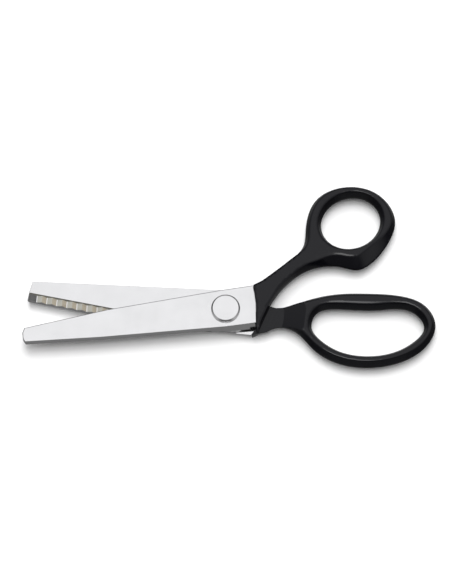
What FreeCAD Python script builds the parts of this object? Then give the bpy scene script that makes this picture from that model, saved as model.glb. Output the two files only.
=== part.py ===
# Pinking shears, 215 mm long, built as an assembly of separate pieces.
#
# Frame: the pivot axis is Z and passes through the origin. The tips point to -X, the handles to +X,
# and Z = 0 is the plane that the shears lie on. The rear blade is the lower one, the front blade
# lies over it, and they are drawn partly open. Every length is in millimetres.
import FreeCAD, Part
import math
import os
import Sketcher

DIMENSIONS = {
    # heights of the stack, from the plane that the shears rest on
    "rear_outer_z": 1.6,
    "rear_boss_z": 6.1,
    "front_boss_z": 6.5,
    "front_outer_z": 11.0,
    # toothed strips: the two blades' teeth mesh about one plane, on circles round the pivot
    "mesh_z": 6.3,
    "tooth_depth": 1.6,
    "tooth_gap": 0.24,
    "tooth_pitch": 5.3,
    "crest_share": 0.45,
    "root_land": 0.4,
    "tooth_start_radius": 24.8,
    "strip_width": 3.5,
    "runout_width": 1.3,
    "runout_depth": 1.2,
    # hollow inner faces behind the strips
    "rear_hollow_z": 4.7,
    "front_hollow_z": 7.9,
    "boss_radius": 10.0,
    "ramp_end_radius": 12.5,
    "strip_trim_radius": 20.0,
    "blade_reach": 120.0,
    "cut_clearance": 3.0,
    # pivot bolt and its nut
    "head_radius": 7.5,
    "head_top_z": 12.8,
    "head_rim": 0.8,
    "head_lift": 0.1,
    "spigot_radius": 6.4,
    "shank_radius": 3.5,
    "running_gap": 0.05,
    "washer_clearance": 0.2,
    "key_width": 4.9,
    "thread_radius": 2.5,
    "thread_gap": 0.02,
    "nut_radius": 6.0,
    "nut_thickness": 1.8,
    "nut_slot_width": 1.4,
    "nut_slot_depth": 0.9,
    "nut_seat_radius": 6.6,
    "nut_seat_z": 3.0,
    # washers
    "tab_washer_thickness": 0.4,
    "tab_washer_radius": 5.8,
    "spring_thickness": 0.5,
    "spring_radius": 5.2,
    "spring_cone": 0.3,
    "spacer_thickness": 0.35,
    "spacer_radius": 9.5,
    # thrust bearing under the bolt's head
    "bearing_seat_z": 8.0,
    "bearing_seat_radius": 6.9,
    "race_radius": 6.7,
    "race_thickness": 0.5,
    "ball_radius": 0.8,
    "ball_circle_radius": 5.2,
    "ball_gap": 0.02,
    "cage_inner_radius": 4.0,
    "cage_outer_radius": 6.5,
    "cage_thickness": 0.8,
    "cage_pocket_gap": 0.08,
    # handles and the tangs inside them
    "grip_bottom_z": 0.0,
    "thumb_top_z": 11.2,
    "finger_top_z": 10.6,
    "grip_rounding": 2.2,
    "thumb_neck_radius": 27.0,
    "finger_neck_radius": 30.5,
    "finger_ramp_radius": 42.0,
    "front_tang_z": 7.5,
    "rear_tang_z": 2.4,
    "tang_thickness": 2.6,
}
BALL_COUNT = 14
NUT_SLOT_COUNT = 4
TOOTH_COUNT = 16
TEETH_SWEEP_DEGREES = 70
LONG_RIM = 30

# Outlines, seen from above. A pair is the end of a straight side; a list is a smooth curve's points.
FRONT_OUTER = [
    (-104.5, -10.4), (-105.4, -13.2), (-105.1, -16.3), (-104.2, -17.9), (-65.0, -15.4), (0.0, -9.6),
    (15.7, -7.4), (15.5, 3.0), (14.2, 13.1), (-3.0, 10.4), (-62.0, -0.4),
]
FRONT_INNER = [
    (-104.5, -10.4), (-105.4, -13.2), (-104.9, -16.9), (-103.3, -18.9), (-65.0, -16.6), (0.0, -10.9),
    (15.8, -9.5), (15.6, 3.0), (14.3, 13.4), (-3.0, 10.6), (-62.0, -0.4),
]
REAR_INNER = [
    (-103.6, 6.6), (-102.9, 11.9), (-101.4, 17.9), (-50.0, 15.5), (-3.0, 13.1), (14.4, 8.2),
    (15.7, 0.0), (15.7, -9.0), (13.0, -12.6), (0.0, -11.2), (-20.0, -10.2),
]
REAR_OUTER = [
    (-103.4, 7.2), (-102.6, 11.9), (-101.0, 16.7), (-50.0, 14.4), (-3.0, 11.9), (14.4, 7.0),
    (15.7, 0.0), (15.7, -8.4), (13.4, -11.2), (0.0, -9.8), (-20.0, -9.4),
]
FRONT_EDGE = [(-104.5, -10.4), (-62.0, -0.4), (-22.0, 6.9)]
REAR_EDGE = [(-103.6, 6.6), (-20.0, -10.2)]

THUMB_OUTLINE = [
    (15.8, -9.5), (15.6, 3.0), (14.3, 13.4),
    [(18.2, 16.2), (30.2, 25.5), (36.3, 30.8), (40.7, 36.2), (42.3, 46.4), (48.5, 63.5), (65.9, 70.5),
     (81.5, 65.7), (89.7, 50.7), (85.5, 38.1), (76.3, 26.9), (69.5, 23.4), (61.0, 25.0), (53.0, 25.5),
     (44.4, 23.6), (33.8, 17.0), (27.9, 10.6), (23.0, 2.2), (16.8, -11.5)],
]
THUMB_HOLE = {"centre": (66.1, 49.7), "half_length": 16.0, "half_width": 14.1, "tilt_degrees": 27.0}
FINGER_OUTLINE = [
    (13.6, -12.4), (15.8, -9.0), (15.8, 0.0), (14.5, 8.2),
    [(19.0, 5.6), (24.1, 2.8), (29.0, 2.3), (35.0, 3.9), (44.0, 7.0), (57.0, 9.8), (75.0, 10.3),
     (92.0, 8.9), (103.9, 3.9), (109.4, -6.6), (104.1, -19.0), (91.0, -27.4), (73.5, -30.5),
     (57.1, -27.7), (45.0, -19.9), (36.7, -11.1), (30.0, -8.5), (21.8, -10.7)],
]
FINGER_HOLE = [
    (44.9, -6.2), (48.4, -0.1), (60.0, 1.7), (80.0, 1.2), (98.5, -0.6), (103.4, -8.2), (97.0, -17.0),
    (83.9, -23.1), (72.0, -24.2), (59.0, -21.6), (48.0, -14.1),
]
FRONT_TANG = [
    (14.0, 9.5), (14.0, -3.5), (17.5, 0.5), (24.5, 12.5), (32.0, 20.5), (30.0, 22.5), (20.0, 13.5),
]
REAR_TANG = [(14.0, 3.5), (14.0, -8.5), (24.0, -7.5), (38.0, -6.5), (38.0, -2.0), (24.0, -2.0)]

doc = FreeCAD.newDocument("PinkingShears")


def make_sheet():
    """Driving dimensions, one aliased cell each."""
    table = doc.addObject("Spreadsheet::Sheet", "dims")
    for row, (alias, value) in enumerate(DIMENSIONS.items(), start=1):
        table.set("A%d" % row, alias.replace("_", " "))
        table.set("B%d" % row, str(value))
        table.setAlias("B%d" % row, alias)
    doc.recompute()
    return table


sheet = make_sheet()


def size(alias):
    """A driving dimension's value."""
    return float(sheet.get(alias))


def bind(feature, **expressions):
    """Tie properties of a feature to the sheet; a double underscore stands for a dot."""
    for name, expression in expressions.items():
        feature.setExpression(name.replace("__", "."), expression)


# ---------------------------------------------------------------- sketches and features

def make_body(name):
    body = doc.addObject("PartDesign::Body", name)
    body.Label = name
    return body


def make_sketch(body, name, height="0", plane="XY_Plane"):
    """An empty sketch on one of the body's origin planes, lifted by an expression."""
    sketch = body.newObject("Sketcher::SketchObject", name)
    origin_plane = next(item for item in body.Origin.OriginFeatures if item.Role == plane)
    sketch.AttachmentSupport = (origin_plane, [""])
    sketch.MapMode = "FlatFace"
    bind(sketch, AttachmentOffset__Base__z=height)
    return sketch


def vector(point):
    return FreeCAD.Vector(point[0], point[1], 0)


def draw_outline(sketch, outline):
    """A closed outline of straight sides and smooth curves, from its first point back to it."""
    first = outline[0]
    here = first
    for item in list(outline[1:]) + [first]:
        if isinstance(item, list):
            curve = Part.BSplineCurve()
            curve.interpolate([vector(here)] + [vector(point) for point in item])
            sketch.addGeometry(curve, False)
            here = item[-1]
        else:
            sketch.addGeometry(Part.LineSegment(vector(here), vector(item)), False)
            here = item


def draw_loop(sketch, points):
    """A closed smooth curve through the points."""
    curve = Part.BSplineCurve()
    curve.interpolate([vector(point) for point in points], PeriodicFlag=True)
    sketch.addGeometry(curve, False)


def draw_circle(sketch, radius):
    """A circle round the pivot axis, its radius given by an expression."""
    sketch.addGeometry(Part.Circle(FreeCAD.Vector(0, 0, 0), FreeCAD.Vector(0, 0, 1), 1.0), False)
    sketch.addConstraint(Sketcher.Constraint("Coincident", 0, 3, -1, 1))
    index = sketch.addConstraint(Sketcher.Constraint("Radius", 0, 1.0))
    sketch.setExpression("Constraints[%d]" % index, radius)


def pad(body, sketch, length):
    feature = body.newObject("PartDesign::Pad", sketch.Name + "_pad")
    feature.Profile = sketch
    bind(feature, Length=length)
    return feature


def pocket(body, sketch, depth):
    """Cut upwards from the sketch's plane."""
    feature = body.newObject("PartDesign::Pocket", sketch.Name + "_pocket")
    feature.Profile = sketch
    feature.Reversed = True
    bind(feature, Length=depth)
    return feature


def turn(body, sketch, kind, degrees=360):
    """Revolve a sketch of the XZ plane round the pivot axis, evenly to both sides of it."""
    feature = body.newObject("PartDesign::" + kind, sketch.Name + "_turn")
    feature.Profile = sketch
    feature.ReferenceAxis = (sketch, ["V_Axis"])
    feature.Angle = degrees
    feature.Midplane = degrees < 360
    return feature


def loft(body, lower, upper):
    feature = body.newObject("PartDesign::AdditiveLoft", lower.Name + "_loft")
    feature.Profile = lower
    feature.Sections = [(upper, [""])]
    feature.Ruled = True
    return feature


def long_rims(shape, heights):
    """Names of the long edges that lie flat at one of the heights."""
    names = []
    for number, edge in enumerate(shape.Edges, start=1):
        box = edge.BoundBox
        flat = any(abs(box.ZMin - z) < 0.001 and abs(box.ZMax - z) < 0.001 for z in heights)
        if flat and edge.Length > LONG_RIM:
            names.append("Edge%d" % number)
    return names


# ---------------------------------------------------------------- blades

def tooth_line(side):
    """Points (radius, height) of the zigzag and its narrow root lands, moved towards one blade."""
    shift = side * size("tooth_gap") / 2
    low = size("mesh_z") - size("tooth_depth") / 2 + shift
    high = low + size("tooth_depth")
    land = size("root_land") / 2
    points = []
    for tooth in range(TOOTH_COUNT + 1):
        start = size("tooth_start_radius") + tooth * size("tooth_pitch")
        points.append((start - land, low))
        points.append((start + land, low))
        points.append((start + size("crest_share") * size("tooth_pitch"), high))
    return points


def edge_band(edge, near, far):
    """A band along a blade's cutting edge, between two distances behind it."""
    def shifted(distance):
        moved = []
        for index, point in enumerate(edge):
            before = edge[max(index - 1, 0)]
            after = edge[min(index + 1, len(edge) - 1)]
            run = math.hypot(after[0] - before[0], after[1] - before[1])
            normal = (-(after[1] - before[1]) / run, (after[0] - before[0]) / run)
            inward = -1 if edge is FRONT_EDGE else 1
            moved.append((point[0] + inward * normal[0] * distance,
                          point[1] + inward * normal[1] * distance))
        return moved
    return shifted(near) + list(reversed(shifted(far)))


def hollow_profile(flat_z, boss_z, open_z):
    """Half section of the hollow behind a strip: a cone from the boss, then flat out to the tip."""
    return [
        (-size("boss_radius"), boss_z), (-size("ramp_end_radius"), flat_z),
        (-size("blade_reach"), flat_z), (-size("blade_reach"), open_z), (-size("boss_radius"), open_z),
    ]


def cut_hollow(body, name, points, degrees):
    sketch = make_sketch(body, name, plane="XZ_Plane")
    draw_outline(sketch, points)
    return turn(body, sketch, "Groove", degrees)


def cut_teeth(body, name, side, boss_z, open_z):
    """Cut the zigzag into a strip, on circles round the pivot, and trim its end to the boss."""
    teeth = [(-radius, height) for radius, height in tooth_line(side)]
    line = [(-size("strip_trim_radius"), boss_z), (teeth[0][0], boss_z)] + teeth
    sketch = make_sketch(body, name, plane="XZ_Plane")
    draw_outline(sketch, line + [(line[-1][0], open_z), (line[0][0], open_z)])
    return turn(body, sketch, "Groove", TEETH_SWEEP_DEGREES)


def add_strip(body, name, edge, base, height):
    sketch = make_sketch(body, name, base)
    draw_outline(sketch, edge_band(edge, 0, size("strip_width")))
    return pad(body, sketch, height)


def cut_runout(body, name, edge, base):
    """The narrow run-out groove along the back of a toothed strip."""
    sketch = make_sketch(body, name, base)
    near = size("strip_width")
    draw_outline(sketch, edge_band(edge, near, near + size("runout_width")))
    return pocket(body, sketch, "dims.runout_depth")


def make_front_blade():
    body = make_body("front_blade")
    lower = make_sketch(body, "front_inner_face", "dims.front_boss_z")
    draw_outline(lower, FRONT_INNER)
    upper = make_sketch(body, "front_outer_face", "dims.front_outer_z")
    draw_outline(upper, FRONT_OUTER)
    loft(body, lower, upper)
    open_z = size("front_boss_z") - size("cut_clearance")
    hollow = hollow_profile(size("front_hollow_z"), size("front_boss_z"), open_z)
    cut_hollow(body, "front_hollow", hollow, 180)
    add_strip(body, "front_strip", FRONT_EDGE, "dims.mesh_z - dims.tooth_depth / 2",
              "dims.front_hollow_z + dims.tooth_depth / 2 - dims.mesh_z")
    cut_teeth(body, "front_teeth", 1, size("front_boss_z"), open_z)
    cut_runout(body, "front_runout", FRONT_EDGE, "dims.front_hollow_z")
    bore = make_sketch(body, "front_bore", "dims.front_boss_z")
    draw_circle(bore, "dims.shank_radius + dims.running_gap")
    pocket(body, bore, "dims.front_outer_z - dims.front_boss_z")
    seat = make_sketch(body, "bearing_seat", "dims.bearing_seat_z")
    draw_circle(seat, "dims.bearing_seat_radius")
    pocket(body, seat, "dims.front_outer_z - dims.bearing_seat_z")
    tang = make_sketch(body, "front_tang", "dims.front_tang_z")
    draw_outline(tang, FRONT_TANG)
    pad(body, tang, "dims.tang_thickness")
    return body


def make_rear_blade():
    body = make_body("rear_blade")
    lower = make_sketch(body, "rear_outer_face", "dims.rear_outer_z")
    draw_outline(lower, REAR_OUTER)
    upper = make_sketch(body, "rear_inner_face", "dims.rear_boss_z")
    draw_outline(upper, REAR_INNER)
    loft(body, lower, upper)
    open_z = size("rear_boss_z") + size("cut_clearance")
    hollow = hollow_profile(size("rear_hollow_z"), size("rear_boss_z"), open_z)
    cut_hollow(body, "rear_hollow", hollow, 360)
    add_strip(body, "rear_strip", REAR_EDGE, "dims.rear_hollow_z",
              "dims.mesh_z + dims.tooth_depth / 2 - dims.rear_hollow_z")
    cut_teeth(body, "rear_teeth", -1, size("rear_boss_z"), open_z)
    cut_runout(body, "rear_runout", REAR_EDGE, "dims.rear_hollow_z - dims.runout_depth")
    seat = make_sketch(body, "nut_seat", "dims.rear_outer_z")
    draw_circle(seat, "dims.nut_seat_radius")
    pocket(body, seat, "dims.nut_seat_z - dims.rear_outer_z")
    half = size("key_width") / 2
    key = make_sketch(body, "key_hole", "dims.nut_seat_z")
    draw_outline(key, [(-half, -half), (half, -half), (half, half), (-half, half)])
    pocket(body, key, "dims.rear_boss_z - dims.nut_seat_z")
    tang = make_sketch(body, "rear_tang", "dims.rear_tang_z")
    draw_outline(tang, REAR_TANG)
    pad(body, tang, "dims.tang_thickness")
    return body


# ---------------------------------------------------------------- handles

def round_grip(body, heights):
    """Round the long rims of a handle at the given heights."""
    doc.recompute()
    base = body.Tip
    feature = body.newObject("PartDesign::Fillet", body.Name + "_rims")
    feature.Base = (base, long_rims(base.Shape, heights))
    bind(feature, Radius="dims.grip_rounding")
    return feature


def cut_tang_slot(body, name, outline, base):
    sketch = make_sketch(body, name, base)
    draw_outline(sketch, outline)
    return pocket(body, sketch, "dims.tang_thickness")


def make_thumb_handle():
    body = make_body("thumb_handle")
    outline = make_sketch(body, "thumb_outline", "dims.grip_bottom_z")
    draw_outline(outline, THUMB_OUTLINE)
    pad(body, outline, "dims.thumb_top_z - dims.grip_bottom_z")
    hole = make_sketch(body, "thumb_hole", "dims.grip_bottom_z")
    tilt = math.radians(THUMB_HOLE["tilt_degrees"])
    centre = vector(THUMB_HOLE["centre"])
    along = FreeCAD.Vector(math.cos(tilt), math.sin(tilt), 0) * THUMB_HOLE["half_length"]
    across = FreeCAD.Vector(-math.sin(tilt), math.cos(tilt), 0) * THUMB_HOLE["half_width"]
    hole.addGeometry(Part.Ellipse(centre + along, centre + across, centre), False)
    pocket(body, hole, "dims.thumb_top_z - dims.grip_bottom_z")
    round_grip(body, [size("grip_bottom_z"), size("thumb_top_z")])
    neck = make_sketch(body, "thumb_neck", "dims.grip_bottom_z")
    draw_circle(neck, "dims.thumb_neck_radius")
    pocket(body, neck, "dims.front_boss_z - dims.grip_bottom_z")
    cut_tang_slot(body, "thumb_slot", FRONT_TANG, "dims.front_tang_z")
    return body


def make_finger_handle():
    body = make_body("finger_handle")
    outline = make_sketch(body, "finger_outline", "dims.grip_bottom_z")
    draw_outline(outline, FINGER_OUTLINE)
    pad(body, outline, "dims.finger_top_z - dims.grip_bottom_z")
    hole = make_sketch(body, "finger_hole", "dims.grip_bottom_z")
    draw_loop(hole, FINGER_HOLE)
    pocket(body, hole, "dims.finger_top_z - dims.grip_bottom_z")
    round_grip(body, [size("grip_bottom_z"), size("finger_top_z")])
    top = size("finger_top_z")
    neck = make_sketch(body, "finger_neck", plane="XZ_Plane")
    draw_outline(neck, [
        (0, size("rear_boss_z")), (size("finger_neck_radius"), size("rear_boss_z")),
        (size("finger_ramp_radius"), top), (size("finger_ramp_radius"), top + size("cut_clearance")),
        (0, top + size("cut_clearance")),
    ])
    turn(body, neck, "Groove")
    cut_tang_slot(body, "finger_slot", REAR_TANG, "dims.rear_tang_z")
    return body


# ---------------------------------------------------------------- pivot

def cylinder(name, radius, base, height):
    piece = doc.addObject("Part::Cylinder", name)
    bind(piece, Radius=radius, Height=height, Placement__Base__z=base)
    return piece


def cut(name, base, tool):
    piece = doc.addObject("Part::Cut", name)
    piece.Label = name
    piece.Base = base
    piece.Tool = tool
    return piece


def ring(name, outer, inner, base, height):
    """A flat washer round the pivot axis."""
    body = cylinder(name + "_disc", outer, base, height)
    hole = cylinder(name + "_hole", inner, base, height)
    return cut(name, body, hole)


def make_pivot_bolt():
    """Low round head, bearing spigot, running shank, square key neck and threaded end."""
    body = make_body("pivot_bolt")
    head_base = size("front_outer_z") + size("head_lift")
    race_top = size("bearing_seat_z") + 2 * (size("race_thickness") + size("ball_radius") + size("ball_gap"))
    head_radius = size("head_radius")
    head_top = size("head_top_z")
    rim = size("head_rim")
    section = make_sketch(body, "bolt_section", plane="XZ_Plane")
    draw_outline(section, [
        (0, size("rear_boss_z")), (size("shank_radius"), size("rear_boss_z")),
        (size("shank_radius"), race_top), (size("spigot_radius"), race_top),
        (size("spigot_radius"), head_base), (head_radius, head_base), (head_radius, head_top - rim),
        (head_radius - rim, head_top), (0, head_top),
    ])
    turn(body, section, "Revolution")
    half = size("key_width") / 2
    key = make_sketch(body, "bolt_key", "dims.nut_seat_z")
    draw_outline(key, [(-half, -half), (half, -half), (half, half), (-half, half)])
    pad(body, key, "dims.rear_boss_z - dims.nut_seat_z")
    thread = make_sketch(body, "bolt_thread")
    draw_circle(thread, "dims.thread_radius - dims.thread_gap")
    pad(body, thread, "dims.nut_seat_z")
    return body


def make_pivot_nut():
    """Round nut with slots for a pin key in its lower face."""
    blank = ring("nut_blank", "dims.nut_radius", "dims.thread_radius", "0", "dims.nut_thickness")
    slots = []
    for number in range(NUT_SLOT_COUNT // 2):
        slot = doc.addObject("Part::Box", "nut_slot_%d" % (number + 1))
        bind(slot, Length="3 * dims.nut_radius", Width="dims.nut_slot_width",
             Height="dims.nut_slot_depth")
        turned = FreeCAD.Rotation(FreeCAD.Vector(0, 0, 1), number * 360 / NUT_SLOT_COUNT)
        corner = FreeCAD.Vector(-1.5 * size("nut_radius"), -size("nut_slot_width") / 2, 0)
        slot.Placement = FreeCAD.Placement(turned.multVec(corner), turned)
        slots.append(slot)
    tools = doc.addObject("Part::MultiFuse", "nut_slots")
    tools.Shapes = slots
    return cut("pivot_nut", blank, tools)


def make_spring_washer():
    """Slightly coned washer that keeps the blades pressed together."""
    body = make_body("spring_washer")
    base = size("nut_thickness") + size("tab_washer_thickness")
    inner = size("thread_radius") + size("washer_clearance")
    outer = size("spring_radius")
    rise = size("spring_cone")
    thick = size("spring_thickness")
    section = make_sketch(body, "spring_section", plane="XZ_Plane")
    draw_outline(section, [(inner, base + rise), (outer, base), (outer, base + thick),
                           (inner, base + rise + thick)])
    turn(body, section, "Revolution")
    return body


def make_bearing_balls():
    balls = []
    for number in range(BALL_COUNT):
        ball = doc.addObject("Part::Sphere", "ball_%d" % (number + 1))
        angle = "%g deg" % (number * 360 / BALL_COUNT)
        bind(ball, Radius="dims.ball_radius",
             Placement__Base__x="dims.ball_circle_radius * cos(%s)" % angle,
             Placement__Base__y="dims.ball_circle_radius * sin(%s)" % angle,
             Placement__Base__z="dims.bearing_seat_z + dims.race_thickness + dims.ball_radius + dims.ball_gap")
        balls.append(ball)
    group = doc.addObject("Part::Compound", "bearing_balls")
    group.Label = "bearing_balls"
    group.Links = balls
    return group


def make_ball_cage():
    """Thin brass ring with a round pocket for each ball."""
    base = "dims.bearing_seat_z + dims.race_thickness + dims.ball_radius - dims.cage_thickness / 2"
    blank = ring("cage_blank", "dims.cage_outer_radius", "dims.cage_inner_radius", base,
                 "dims.cage_thickness")
    pockets = []
    for number in range(BALL_COUNT):
        hole = cylinder("cage_hole_%d" % (number + 1), "dims.ball_radius + dims.cage_pocket_gap", base,
                        "dims.cage_thickness")
        angle = "%g deg" % (number * 360 / BALL_COUNT)
        bind(hole, Placement__Base__x="dims.ball_circle_radius * cos(%s)" % angle,
             Placement__Base__y="dims.ball_circle_radius * sin(%s)" % angle)
        pockets.append(hole)
    tools = doc.addObject("Part::MultiFuse", "cage_holes")
    tools.Shapes = pockets
    return cut("ball_cage", blank, tools)


def make_washers():
    lower = ring("lower_race", "dims.race_radius", "dims.shank_radius + dims.washer_clearance",
                 "dims.bearing_seat_z", "dims.race_thickness")
    upper = ring("upper_race", "dims.race_radius", "dims.shank_radius",
                 "dims.bearing_seat_z + dims.race_thickness + 2 * (dims.ball_radius + dims.ball_gap)",
                 "dims.race_thickness")
    spacer = ring("blade_spacer", "dims.spacer_radius", "dims.shank_radius", "dims.rear_boss_z",
                  "dims.spacer_thickness")
    tab = ring("tab_washer", "dims.tab_washer_radius", "dims.thread_radius", "dims.nut_thickness",
               "dims.tab_washer_thickness")
    return [lower, upper, spacer, tab]


# ---------------------------------------------------------------- build, test and write

def export(pieces):
    doc.recompute()
    for item in doc.Objects:
        if "Invalid" in item.State or "Error" in item.State:
            raise RuntimeError("%s did not compute: %s" % (item.Name, item.State))
    os.makedirs("parts", exist_ok=True)
    for piece in pieces:
        shape = piece.Shape
        if shape.isNull() or not shape.isValid():
            raise RuntimeError("%s has no valid shape" % piece.Label)
    for piece in pieces:
        shape = piece.Shape
        shape.exportStep("parts/%s.step" % piece.Label)
        box = shape.BoundBox
        print("%-16s %2d solid(s) %9.1f mm3  x %.1f..%.1f  y %.1f..%.1f  z %.2f..%.2f" % (
            piece.Label, len(shape.Solids), shape.Volume, box.XMin, box.XMax, box.YMin, box.YMax,
            box.ZMin, box.ZMax))


export([
    make_front_blade(), make_rear_blade(), make_thumb_handle(), make_finger_handle(),
    make_pivot_bolt(), make_pivot_nut(), make_spring_washer(), make_bearing_balls(), make_ball_cage(),
] + make_washers())
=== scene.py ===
# Pinking shears: finished handles, finely edged blades, materials, light and camera, built round
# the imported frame. Lengths are in metres.
import math

import bmesh
import bpy
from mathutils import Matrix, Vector
from mathutils.geometry import delaunay_2d_cdt


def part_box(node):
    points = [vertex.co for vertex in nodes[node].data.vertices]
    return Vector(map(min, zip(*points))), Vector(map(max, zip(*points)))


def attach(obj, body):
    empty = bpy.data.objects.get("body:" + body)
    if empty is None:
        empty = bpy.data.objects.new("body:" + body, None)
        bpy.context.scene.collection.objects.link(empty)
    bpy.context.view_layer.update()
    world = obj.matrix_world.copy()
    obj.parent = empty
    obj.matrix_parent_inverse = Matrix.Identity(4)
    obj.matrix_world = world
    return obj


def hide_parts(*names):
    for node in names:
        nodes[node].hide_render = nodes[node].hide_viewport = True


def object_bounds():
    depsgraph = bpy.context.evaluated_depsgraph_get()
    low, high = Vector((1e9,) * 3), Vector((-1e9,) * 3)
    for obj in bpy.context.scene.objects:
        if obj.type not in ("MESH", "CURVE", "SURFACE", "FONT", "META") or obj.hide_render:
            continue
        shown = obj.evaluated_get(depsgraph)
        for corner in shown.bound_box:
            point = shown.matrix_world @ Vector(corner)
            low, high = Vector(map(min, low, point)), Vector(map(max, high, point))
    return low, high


MM = 0.001

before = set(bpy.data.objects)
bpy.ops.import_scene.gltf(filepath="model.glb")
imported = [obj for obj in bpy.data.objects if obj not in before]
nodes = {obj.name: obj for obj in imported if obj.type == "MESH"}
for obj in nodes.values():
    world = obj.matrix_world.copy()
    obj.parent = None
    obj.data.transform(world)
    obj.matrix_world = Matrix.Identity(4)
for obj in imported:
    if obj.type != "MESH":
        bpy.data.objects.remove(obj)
cad_low, cad_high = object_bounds()


# ---------------------------------------------------------------- camera, floor and light

VIEW_ELEVATION = math.radians(70)
VIEW_WIDTH = 235.5 * MM
LENS = 200
SENSOR = 36
LOOK_AT = Vector((0.2, 9.0, 11.9)) * MM
# The flat steel faces mirror this direction to the camera, so that is where the softbox hangs.
SOFTBOX = Vector((0, math.cos(VIEW_ELEVATION), math.sin(VIEW_ELEVATION)))
SOFTBOX_LIGHT = 1.35
SOFTBOX_CORE = math.radians(20)
SOFTBOX_EDGE = math.radians(40)
# The room's grey from straight below (0) through the horizon (0.5) to straight above (1), seen
# along Y and seen along X, and how far to the side the one gives way to the other.
ROOM_AHEAD = [(0.0, 0.24), (0.45, 0.28), (0.55, 0.18), (0.80, 0.18), (0.92, 0.45), (1.0, 0.7)]
ROOM_ASIDE = [(0.0, 0.06), (0.48, 0.10), (0.60, 0.50), (0.78, 1.0), (1.0, 1.0)]
ROOM_TURN = (0.4, 0.8)
FLOOR_REACH = 4.0
FLOOR_GAP = 0.1 * MM


def make_camera():
    """A long lens, almost overhead, with the handles to the right."""
    data = bpy.data.cameras.new("camera")
    data.sensor_fit = "HORIZONTAL"
    data.sensor_width = SENSOR
    data.lens = LENS
    camera = bpy.data.objects.new("camera", data)
    bpy.context.scene.collection.objects.link(camera)
    distance = VIEW_WIDTH * LENS / SENSOR
    back = Vector((0, -math.cos(VIEW_ELEVATION), math.sin(VIEW_ELEVATION)))
    camera.location = LOOK_AT + back * distance
    camera.rotation_euler = back.to_track_quat("Z", "Y").to_euler()
    bpy.context.scene.camera = camera


def node_adder(tree):
    """A function that adds a node to the tree, with given settings and inputs."""
    def add(kind, settings=None, **inputs):
        node = tree.nodes.new(kind)
        for name, value in (settings or {}).items():
            setattr(node, name, value)
        for name, value in inputs.items():
            socket = node.inputs[name.replace("_", " ")]
            if isinstance(value, bpy.types.NodeSocket):
                tree.links.new(value, socket)
            else:
                socket.default_value = value
        return node
    return add


def empty_graph(owner):
    """A node adder for the owner's emptied node tree."""
    owner.use_nodes = True
    owner.node_tree.nodes.clear()
    return node_adder(owner.node_tree)


def remap(add, value, source=(0.0, 1.0), target=(0.0, 1.0), kind="LINEAR"):
    """A value carried over from one range to another."""
    node = add("ShaderNodeMapRange", {"interpolation_type": kind}, Value=value, From_Min=source[0],
               From_Max=source[1], To_Min=target[0], To_Max=target[1])
    return node.outputs["Result"]


def mix_colors(add, share, first, second):
    node = add("ShaderNodeMix", {"data_type": "RGBA"}, Factor=share, A=first, B=second)
    return node.outputs["Result"]


def color_ramp(add, level, stops, kind="LINEAR"):
    """The colour that a level has between the given stops."""
    node = add("ShaderNodeValToRGB", Fac=level)
    node.color_ramp.interpolation = kind
    elements = node.color_ramp.elements
    while len(elements) < len(stops):
        elements.new(0.5)
    for element, (place, color) in zip(elements, stops):
        element.position = place
        element.color = color
    return node.outputs["Color"]


def grey_stops(stops):
    return [(place, (grey, grey, grey, 1)) for place, grey in stops]


def make_world():
    """A large softbox above and behind, in a dim room whose floor throws back a little light."""
    world = bpy.data.worlds.new("studio")
    add = empty_graph(world)
    where = add("ShaderNodeTexCoord").outputs["Generated"]
    toward = add("ShaderNodeVectorMath", {"operation": "DOT_PRODUCT"})
    world.node_tree.links.new(where, toward.inputs[0])
    toward.inputs[1].default_value = SOFTBOX
    box = remap(add, toward.outputs["Value"], (math.cos(SOFTBOX_EDGE), math.cos(SOFTBOX_CORE)),
                kind="SMOOTHSTEP")
    parts = add("ShaderNodeSeparateXYZ", Vector=where)
    height = remap(add, parts.outputs["Z"], (-1.0, 1.0))
    breadth = add("ShaderNodeMath", {"operation": "ABSOLUTE"}, Value=parts.outputs["X"])
    side = remap(add, breadth.outputs[0], ROOM_TURN, kind="SMOOTHSTEP")
    room = mix_colors(add, side, color_ramp(add, height, grey_stops(ROOM_AHEAD)),
                      color_ramp(add, height, grey_stops(ROOM_ASIDE)))
    softbox = (SOFTBOX_LIGHT, SOFTBOX_LIGHT, SOFTBOX_LIGHT * 1.01, 1)
    light = add("ShaderNodeBackground", Color=mix_colors(add, box, room, softbox), Strength=1.0)
    add("ShaderNodeOutputWorld", Surface=light.outputs[0])
    bpy.context.scene.world = world


def area_light(name, place, size, power):
    """A round soft light that faces the pivot."""
    data = bpy.data.lights.new(name, "AREA")
    data.shape = "DISK"
    data.size = size
    data.energy = power
    light = bpy.data.objects.new(name, data)
    bpy.context.scene.collection.objects.link(light)
    light.location = place
    light.rotation_euler = Vector(place).to_track_quat("Z", "Y").to_euler()
    return light


def make_lights():
    key = area_light("key", (0.0, 0.56, 1.06), 1.0, 10.5)
    key.visible_glossy = False
    area_light("top_strip", (0.0, -0.13, 1.2), 0.4, 2.4)


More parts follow.
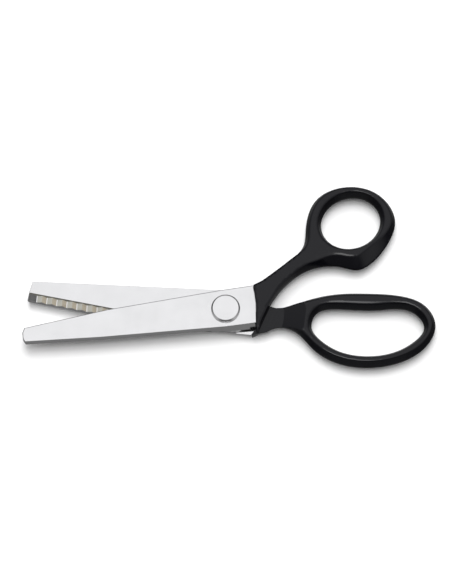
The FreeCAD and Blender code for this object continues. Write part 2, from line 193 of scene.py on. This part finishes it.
def make_floor():
    """A plain pale floor, just below the shears."""
    mesh = bpy.data.meshes.new("floor")
    corners = [(-FLOOR_REACH, -FLOOR_REACH, 0), (FLOOR_REACH, -FLOOR_REACH, 0),
               (FLOOR_REACH, FLOOR_REACH, 0), (-FLOOR_REACH, FLOOR_REACH, 0)]
    mesh.from_pydata(corners, [], [(0, 1, 2, 3)])
    floor = bpy.data.objects.new("floor", mesh)
    bpy.context.scene.collection.objects.link(floor)
    floor.location.z = cad_low.z - FLOOR_GAP
    material = bpy.data.materials.new("floor_white")
    add = empty_graph(material)
    shade = add("ShaderNodeBsdfPrincipled", Base_Color=(0.9, 0.9, 0.9, 1), Roughness=0.9,
                Specular_IOR_Level=0.0)
    add("ShaderNodeOutputMaterial", Surface=shade.outputs[0])
    mesh.materials.append(material)
    floor.visible_glossy = False


# ---------------------------------------------------------------- materials

# The other metals, by slot: colour, roughness and depth of the grinding marks.
METALS = {
    "plated_bolt": ((0.61, 0.61, 0.615), 0.12, 0.02),
    "washer_steel": ((0.6, 0.6, 0.62), 0.35, 0.04),
    "spring_steel": ((0.22, 0.24, 0.3), 0.3, 0.04),
    "bearing_steel": ((0.75, 0.75, 0.77), 0.1, 0.04),
    "bronze": ((0.62, 0.42, 0.24), 0.32, 0.04),
    "brass": ((0.72, 0.56, 0.28), 0.28, 0.04),
}
# How closely textures are packed, per metre.
EVEN_MARKS = (900, 900, 900)
BLADE_MARKS = (60, 2600, 2600)
STEEL_CLOUDS = (90, 90, 90)
HANDLE_GRAIN = (1500, 1500, 1500)
HANDLE_WEAR = (70, 70, 70)
BUMP_HEIGHT = 0.05 * MM

# A mark for the faces that are unplated and duller from grinding, and their tint: painted light and
# shade on the teeth's flanks, lighter where they face the tip and a darker beige where they face
# the pivot, and painted shade on the run-out groove's floor and on the strip's end.
LIT_TIP_FLANK = 0.25
SHADED_PIVOT_FLANK = 0.5
SHADED_RUNOUT = 0.75
SHADED_END = 1.0
GROUND_AND_SHADING_TINTS = {
    # Painted light and shade: tip-facing flanks painted lighter, pivot-facing flanks a darker beige.
    LIT_TIP_FLANK: (0.40, 0.395, 0.355, 1),
    SHADED_PIVOT_FLANK: (0.37, 0.33, 0.26, 1),
    # Painted shade on the run-out groove's floor, and on the strip's end below.
    SHADED_RUNOUT: (0.19, 0.185, 0.155, 1),
    SHADED_END: (0.10, 0.10, 0.10, 1),
}
HALF_MARK = LIT_TIP_FLANK / 2
GROUND_METALLIC = 0.4
GROUND_ROUGHNESS = 0.45


def noise(add, scale, detail, roughness=0.5):
    """Noise in object coordinates stretched by a scale, so that it keeps its real size."""
    where = add("ShaderNodeTexCoord").outputs["Object"]
    stretch = add("ShaderNodeMapping", Vector=where, Scale=scale)
    node = add("ShaderNodeTexNoise", Vector=stretch.outputs["Vector"], Scale=1.0, Detail=detail,
               Roughness=roughness)
    return node.outputs["Fac"]


def ground_metal(name, color, roughness, depth, along=EVEN_MARKS):
    """Polished metal with the fine marks of grinding, which may be drawn out along one axis."""
    material = bpy.data.materials.new(name)
    add = empty_graph(material)
    marks = noise(add, along, 4.0, 0.6)
    tint = remap(add, noise(add, STEEL_CLOUDS, 3.0), (0.3, 0.7), (0.97, 1.03))
    shaded = add("ShaderNodeVectorMath", {"operation": "SCALE"}, Scale=tint)
    shaded.inputs[0].default_value = color
    rough = remap(add, marks, target=(roughness * 0.7, roughness * 1.35))
    bump = add("ShaderNodeBump", Height=marks, Strength=depth, Distance=BUMP_HEIGHT)
    shade = add("ShaderNodeBsdfPrincipled", Base_Color=shaded.outputs[0], Metallic=1.0,
                Roughness=rough, Normal=bump.outputs[0])
    add("ShaderNodeOutputMaterial", Surface=shade.outputs[0])
    return material


def blade_steel():
    """The blades' polished steel; the marked faces are unplated and duller, and their tints are
    painted light and shade.
    """
    material = ground_metal("polished_steel", (0.60, 0.60, 0.605), 0.16, 0.04, BLADE_MARKS)
    tree = material.node_tree
    add = node_adder(tree)
    shade = next(node for node in tree.nodes if node.type == "BSDF_PRINCIPLED")
    color, rough = [shade.inputs[name].links[0].from_socket for name in ("Base Color", "Roughness")]
    mark = add("ShaderNodeAttribute", {"attribute_name": "ground"}).outputs["Fac"]
    marked = add("ShaderNodeMath", {"operation": "GREATER_THAN"})
    tree.links.new(mark, marked.inputs[0])
    marked.inputs[1].default_value = HALF_MARK
    ground = marked.outputs[0]
    stops = [(level - HALF_MARK, tint) for level, tint in GROUND_AND_SHADING_TINTS.items()]
    # The marked faces take painted light and shade from this ramp, besides being duller.
    tint = color_ramp(add, mark, stops, "CONSTANT")
    dull = add("ShaderNodeMix", Factor=ground, A=rough, B=GROUND_ROUGHNESS)
    tree.links.new(mix_colors(add, ground, color, tint), shade.inputs["Base Color"])
    tree.links.new(remap(add, ground, target=(1.0, GROUND_METALLIC)), shade.inputs["Metallic"])
    tree.links.new(dull.outputs["Result"], shade.inputs["Roughness"])
    return material


def black_handle_material():
    """Semi-gloss black: a faint blue cast, a very fine moulded texture and slightly worn gloss."""
    material = bpy.data.materials.new("black_handle")
    add = empty_graph(material)
    rough = remap(add, noise(add, HANDLE_WEAR, 4.0), target=(0.10, 0.18))
    bump = add("ShaderNodeBump", Height=noise(add, HANDLE_GRAIN, 2.0), Strength=0.05,
               Distance=BUMP_HEIGHT)
    shade = add("ShaderNodeBsdfPrincipled", Base_Color=(0.003, 0.003, 0.0045, 1), Roughness=rough,
                Normal=bump.outputs[0], Specular_IOR_Level=0.23)
    add("ShaderNodeOutputMaterial", Surface=shade.outputs[0])
    return material


# ---------------------------------------------------------------- outlines

# Points of a CAD mesh nearer than this are one point.
SAME_POINT = 0.0001 * MM
# A turn sharper than this ends one side of an outline.
CORNER = math.radians(25)
SPACING = 0.9 * MM
# The short sides of a grip meet the blade: there the flank is only a narrow broken edge.
SHORT_SIDE = 30 * MM
NARROW = 0.12 * MM
TAPER = 6 * MM


def new_object(name, mesh, material, body, replaced):
    """Link a finished mesh, dress it and let it ride on its body in place of its CAD node."""
    mesh.materials.clear()
    mesh.materials.append(material)
    piece = bpy.data.objects.new(name, mesh)
    bpy.context.scene.collection.objects.link(piece)
    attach(piece, body)
    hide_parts(replaced)
    return piece


def section_loops(node, height):
    """The closed outlines of a CAD node where a level plane cuts it, longest first."""
    work = bmesh.new()
    work.from_mesh(nodes[node].data)
    bmesh.ops.remove_doubles(work, verts=work.verts, dist=SAME_POINT)
    cut = bmesh.ops.bisect_plane(work, geom=work.verts[:] + work.edges[:] + work.faces[:],
                                 plane_co=(0, 0, height), plane_no=(0, 0, 1))["geom_cut"]
    edges = [item for item in cut if isinstance(item, bmesh.types.BMEdge)]
    beside = {}
    for edge in edges:
        for vert, other in (edge.verts, reversed(edge.verts)):
            beside.setdefault(vert, []).append(other)
    loops = []
    unused = dict.fromkeys(beside)
    while unused:
        onward = [next(iter(unused))]
        loop = []
        while onward:
            here = onward[0]
            del unused[here]
            loop.append(here)
            onward = [vert for vert in beside[here] if vert in unused]
        loops.append([vert.co.xy.copy() for vert in loop])
    work.free()
    return sorted(loops, key=loop_length, reverse=True)


def loop_length(loop):
    return sum((loop[index] - loop[index - 1]).length for index in range(len(loop)))


def signed_area(loop):
    return sum(loop[index - 1].cross(loop[index]) for index in range(len(loop))) / 2


def outer_and_hole(node, height):
    """A grip's outline, anticlockwise, and its hole's, clockwise."""
    outer, hole = section_loops(node, height)[:2]
    if signed_area(outer) < 0:
        outer.reverse()
    if signed_area(hole) > 0:
        hole.reverse()
    return outer, hole


def find_corners(loop):
    """The places where a closed outline turns sharply."""
    corners = []
    for index in range(len(loop)):
        before = loop[index] - loop[index - 1]
        after = loop[(index + 1) % len(loop)] - loop[index]
        if before.length > 0 and after.length > 0 and abs(before.angle_signed(after)) > CORNER:
            corners.append(index)
    return corners


def resample(loop):
    """Even points along a closed outline, each with its distance from the end of its side."""
    count = len(loop)
    found = find_corners(loop)
    corners = found or [0]
    points = []
    reaches = []
    for start, end in zip(corners, corners[1:] + [corners[0] + count]):
        run = [loop[index % count] for index in range(start, end + 1)]
        lengths = [(b - a).length for a, b in zip(run, run[1:])]
        total = sum(lengths)
        steps = max(1, round(total / SPACING))
        walked = 0.0
        piece = 0
        for step in range(steps):
            target = total * step / steps
            while piece < len(lengths) - 1 and walked + lengths[piece] < target:
                walked += lengths[piece]
                piece += 1
            share = (target - walked) / lengths[piece] if lengths[piece] else 0
            points.append(run[piece].lerp(run[piece + 1], share))
            reach = min(target, total - target) if total > SHORT_SIDE else 0
            reaches.append(reach if found else TAPER)
    return points, reaches


def inward_normals(loop):
    """Normals of a closed outline to its left, into the material, stretched at the corners."""
    normals = []
    for index in range(len(loop)):
        before = (loop[index] - loop[index - 1]).normalized()
        after = (loop[(index + 1) % len(loop)] - loop[index]).normalized()
        along = before + after
        normal = Vector((-along.y, along.x)).normalized()
        stretch = 1 / max(0.5, normal.dot(Vector((-after.y, after.x))))
        normals.append(normal * stretch)
    return normals


# ---------------------------------------------------------------- handles

# One quarter of a grip's cross-section: how far in from the rim, as a share of the flank's width,
# and how high above the middle, as a share of half the thickness.
FLANK = [
    (0.0, 0.0), (0.02, 0.09), (0.06, 0.16), (0.11, 0.215), (0.45, 0.505), (0.82, 0.815), (0.88, 0.862),
    (0.94, 0.886), (1.0, 0.902), (1.06, 0.914),
]
CROWN_REACH = 1.6 * MM
# The crown's skin has its points in staggered rows, clear of the crease.
GRID = 1.5 * MM
ROW_PITCH = GRID * 0.87
CREASE_MARGIN = GRID * 0.45
# Heights at which a level plane cuts each grip's whole outline, above or below its cut-away neck.
THUMB_SECTION = 7.0 * MM
FINGER_SECTION = 5.5 * MM
THUMB_NECK_TOP = 6.5 * MM
THUMB_NECK_RADIUS = 27 * MM
FINGER_NECK_RADIUS = 30.5 * MM
FINGER_RAMP_RADIUS = 42 * MM
BELOW_ALL = -1 * MM
ROUND_SEGMENTS = 160


def smooth_step(value, low, high):
    share = min(max((value - low) / (high - low), 0.0), 1.0)
    return share * share * (3 - 2 * share)


def thumb_flank(point):
    """Width of the thumb handle's flank: narrow at the neck, broad under the ring and its spur."""
    x, y = point.x / MM, point.y / MM
    ring = 0.8 + 1.4 * smooth_step(x, 32, 46)
    under_ring = smooth_step(x, 46, 60) * (1 - smooth_step(y, 30, 50))
    spur = smooth_step(x, 61, 69) * (1 - smooth_step(y, 26, 40))
    return MM * (ring + 3.3 * under_ring + 1.5 * spur)


def finger_flank(point):
    """Width of the finger bow's flank: slim at the neck, fuller round the bow."""
    return MM * (1.2 + 1.1 * smooth_step(point.x / MM, 34, 48))


def hole_flank(point):
    """Width of the flank round a hole, the same at every point."""
    return 2.1 * MM


def distance_to(point, loops):
    """Distance from a point to the nearest of the closed outlines."""
    nearest = 1.0
    for loop in loops:
        for index in range(len(loop)):
            start = loop[index - 1]
            run = loop[index] - start
            share = min(max((point - start).dot(run) / max(run.length_squared, 1e-18), 0), 1)
            nearest = min(nearest, (start + run * share - point).length)
    return nearest


def inside(point, loop):
    """Whether a point lies inside a closed outline."""
    hit = False
    for index in range(len(loop)):
        a, b = loop[index - 1], loop[index]
        if (a.y > point.y) != (b.y > point.y):
            if point.x < (b.x - a.x) * (point.y - a.y) / (b.y - a.y) + a.x:
                hit = not hit
    return hit


def inset_ring(work, loop, normals, widths, inset, height):
    """A ring of vertices at one height, set in by a share of the flank's width."""
    ring = []
    for point, normal, width in zip(loop, normals, widths):
        place = point + normal * width * inset
        ring.append(work.verts.new((place.x, place.y, height)))
    return ring


def make_grip(name, node, section_height, flanks):
    """A handle with flanks, a crease and a crowned face, from its CAD node's outline."""
    low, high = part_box(node)
    middle = (low.z + high.z) / 2
    half = (high.z - low.z) / 2
    work = bmesh.new()
    creases = {1: [], -1: []}
    for outline, flank in zip(outer_and_hole(node, section_height), flanks):
        loop, reaches = resample(outline)
        normals = inward_normals(loop)
        widths = [NARROW + (flank(point) - NARROW) * smooth_step(reach, 0, TAPER)
                  for point, reach in zip(loop, reaches)]
        belt = inset_ring(work, loop, normals, widths, 0, middle)
        for side, ends in creases.items():
            last = belt
            for inset, rise in FLANK[1:]:
                ring = inset_ring(work, loop, normals, widths, inset, middle + side * half * rise)
                for index in range(len(ring)):
                    quad = [last[index - 1], last[index], ring[index], ring[index - 1]]
                    work.faces.new(quad[::side])
                last = ring
            ends.append(last)
    for side, ends in creases.items():
        fill_crown(work, ends, side, middle, half)
    bmesh.ops.recalc_face_normals(work, faces=work.faces[:])
    mesh = bpy.data.meshes.new(name)
    work.to_mesh(mesh)
    work.free()
    mesh.shade_smooth()
    return mesh


def crown_points(outlines):
    """Points of a crown's skin in staggered rows, each with its distance from the crease."""
    outer, hole = outlines
    left = min(point.x for point in outer)
    right = max(point.x for point in outer)
    bottom = min(point.y for point in outer)
    top = max(point.y for point in outer)
    found = []
    row = bottom
    while row < top:
        column = left + (GRID / 2 if round((row - bottom) / GRID) % 2 else 0)
        while column < right:
            point = Vector((column, row))
            if inside(point, outer) and not inside(point, hole):
                distance = distance_to(point, outlines)
                if distance > CREASE_MARGIN:
                    found.append((point, distance))
            column += GRID
        row += ROW_PITCH
    return found


def fill_crown(work, creases, side, middle, half):
    """Close one face of a grip with a crowned skin between its outer and inner crease."""
    outlines = [[vert.co.xy.copy() for vert in ring] for ring in creases]
    outer, hole = outlines
    rim_verts = [vert for ring in creases for vert in ring]
    rim_points = outer + hole
    skin = crown_points(outlines)
    links = []
    start = 0
    for outline in outlines:
        count = len(outline)
        links += [(start + index, start + (index + 1) % count) for index in range(count)]
        start += count
    points = rim_points + [point for point, distance in skin]
    found = delaunay_2d_cdt(points, links, [], 1, SAME_POINT)
    places, triangles, origins = found[0], found[2], found[3]
    rim = FLANK[-1][1]
    made = []
    for place, sources in zip(places, origins):
        if sources[0] < len(rim_verts):
            made.append(rim_verts[sources[0]])
        else:
            distance = skin[sources[0] - len(rim_verts)][1]
            rise = rim + (1 - rim) * (1 - math.exp(-distance / CROWN_REACH))
            made.append(work.verts.new((place.x, place.y, middle + side * half * rise)))
    for triangle in triangles:
        centre = sum((places[index] for index in triangle), Vector((0, 0))) / 3
        if inside(centre, outer) and not inside(centre, hole):
            work.faces.new([made[index] for index in triangle])


def cut_neck(piece, low, high, low_radius, high_radius):
    """Take away the half of a grip's neck that the other handle passes."""
    tool_mesh = bpy.data.meshes.new("neck_tool")
    work = bmesh.new()
    bmesh.ops.create_cone(work, cap_ends=True, segments=ROUND_SEGMENTS, radius1=low_radius,
                          radius2=high_radius, depth=high - low)
    bmesh.ops.translate(work, verts=work.verts, vec=(0, 0, (high + low) / 2))
    work.to_mesh(tool_mesh)
    work.free()
    tool = bpy.data.objects.new("neck_tool", tool_mesh)
    bpy.context.scene.collection.objects.link(tool)
    cutter = piece.modifiers.new("neck", "BOOLEAN")
    cutter.operation = "DIFFERENCE"
    cutter.solver = "EXACT"
    cutter.object = tool
    apply_modifiers(piece)
    bpy.data.objects.remove(tool)


def apply_modifiers(piece):
    graph = bpy.context.evaluated_depsgraph_get()
    graph.update()
    finished = bpy.data.meshes.new_from_object(piece.evaluated_get(graph))
    piece.modifiers.clear()
    piece.data = finished


def make_handles():
    """Both grips, in place of their CAD nodes, with their necks cut to pass each other."""
    material = black_handle_material()
    mesh = make_grip("thumb_grip", "thumb_handle", THUMB_SECTION, (thumb_flank, hole_flank))
    thumb = new_object("thumb_grip", mesh, material, "front_lever", "thumb_handle")
    cut_neck(thumb, BELOW_ALL, THUMB_NECK_TOP, THUMB_NECK_RADIUS, THUMB_NECK_RADIUS)
    mesh = make_grip("finger_grip", "finger_handle", FINGER_SECTION, (finger_flank, hole_flank))
    finger = new_object("finger_grip", mesh, material, "rear_lever", "finger_handle")
    cut_neck(finger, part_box("blade_spacer")[0].z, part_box("finger_handle")[1].z, FINGER_NECK_RADIUS,
             FINGER_RAMP_RADIUS)


# ---------------------------------------------------------------- blades and pivot

# The toothed strips start and end at these distances from the pivot; what lies beyond the end is
# painted near-black as painted shade.
STRIP_START = 20 * MM
LAST_ROOT = 99.2 * MM
# Heights of the floors of the run-out grooves.
FRONT_RUNOUT_Z = 9.1 * MM
REAR_RUNOUT_Z = 3.5 * MM
# A blade's upper rims are chamfered, all its edges are broken more finely.
RIM_CHAMFER = 0.42 * MM
EDGE_BREAK = 0.12 * MM
SHORTEST_RIM = 1.5 * MM
RIM_END_X = 10 * MM
RIM_LOWEST_Z = 4.5 * MM
WELD = 0.001 * MM


def mark_ground_and_shading(work, runout_z):
    """Mark the teeth's flanks, the strip's end and the run-out groove's floor, each for its tint:
    painted light and shade on the flanks by the way they face, painted shade on the end and the floor.
    """
    mark = work.faces.layers.float.new("ground")
    for face in work.faces:
        centre = face.calc_center_median()
        lean = face.normal.xy.dot(centre.xy.normalized())
        radius = centre.xy.length
        if radius < STRIP_START:
            continue
        if abs(centre.z - runout_z) < 0.1 * MM:
            # The run-out groove's floor: painted shade.
            face[mark] = SHADED_RUNOUT
        # Beyond the last root: the strip's end, painted near-black as shade.
        elif 0.35 < abs(lean) < 0.9 and radius > LAST_ROOT:
            face[mark] = SHADED_END
        # The flanks: painted lighter where they face the tip, darker where they face the pivot.
        elif 0.35 < abs(lean) < 0.9:
            face[mark] = SHADED_PIVOT_FLANK if lean < 0 else LIT_TIP_FLANK


def chamfer_rims(work):
    """Break the upper edges along a blade's back, point and free edge, but not the front ones."""
    rims = []
    for edge in work.edges:
        middle = (edge.verts[0].co + edge.verts[1].co) / 2
        long_enough = edge.is_convex and edge.calc_length() > SHORTEST_RIM
        if long_enough and middle.x < RIM_END_X and middle.z > RIM_LOWEST_Z:
            wall, top = sorted(edge.link_faces, key=lambda face: face.normal.z)
            if top.normal.z > 0.99 and abs(wall.normal.z) < 0.45 and wall.normal.y > -0.5:
                rims.append(edge)
    bmesh.ops.bevel(work, geom=rims, offset=RIM_CHAMFER, offset_type="OFFSET", segments=1, profile=0.5,
                    affect="EDGES", clamp_overlap=True)


def finish_blade(node, name, material, body, runout_z):
    """A copy of a blade's CAD node with finely broken edges, standing in for it."""
    work = bmesh.new()
    work.from_mesh(nodes[node].data)
    bmesh.ops.remove_doubles(work, verts=work.verts, dist=WELD)
    bmesh.ops.dissolve_limit(work, angle_limit=math.radians(0.4), verts=work.verts, edges=work.edges)
    mark_ground_and_shading(work, runout_z)
    chamfer_rims(work)
    mesh = bpy.data.meshes.new(name)
    work.to_mesh(mesh)
    work.free()
    piece = new_object(name, mesh, material, body, node)
    bevel = piece.modifiers.new("edges", "BEVEL")
    bevel.width = EDGE_BREAK
    bevel.segments = 2
    bevel.limit_method = "ANGLE"
    bevel.angle_limit = math.radians(28)


def make_metal():
    """Both blades, and the pivot's pieces dressed in place."""
    steel = blade_steel()
    finish_blade("front_blade", "front_blade_finished", steel, "front_lever", FRONT_RUNOUT_Z)
    finish_blade("rear_blade", "rear_blade_finished", steel, "rear_lever", REAR_RUNOUT_Z)
    metal = {slot: ground_metal(slot, *look) for slot, look in METALS.items()}
    pieces = {
        "pivot_bolt": "plated_bolt", "pivot_nut": "plated_bolt", "tab_washer": "washer_steel",
        "spring_washer": "spring_steel", "lower_race": "bearing_steel", "upper_race": "bearing_steel",
        "bearing_balls": "bearing_steel", "blade_spacer": "bronze", "ball_cage": "brass",
    }
    for node, slot in pieces.items():
        mesh = nodes[node].data
        mesh.materials.clear()
        mesh.materials.append(metal[slot])


bpy.context.scene.view_settings.view_transform = "Standard"
make_camera()
make_world()
make_floor()
make_lights()
make_metal()
make_handles()
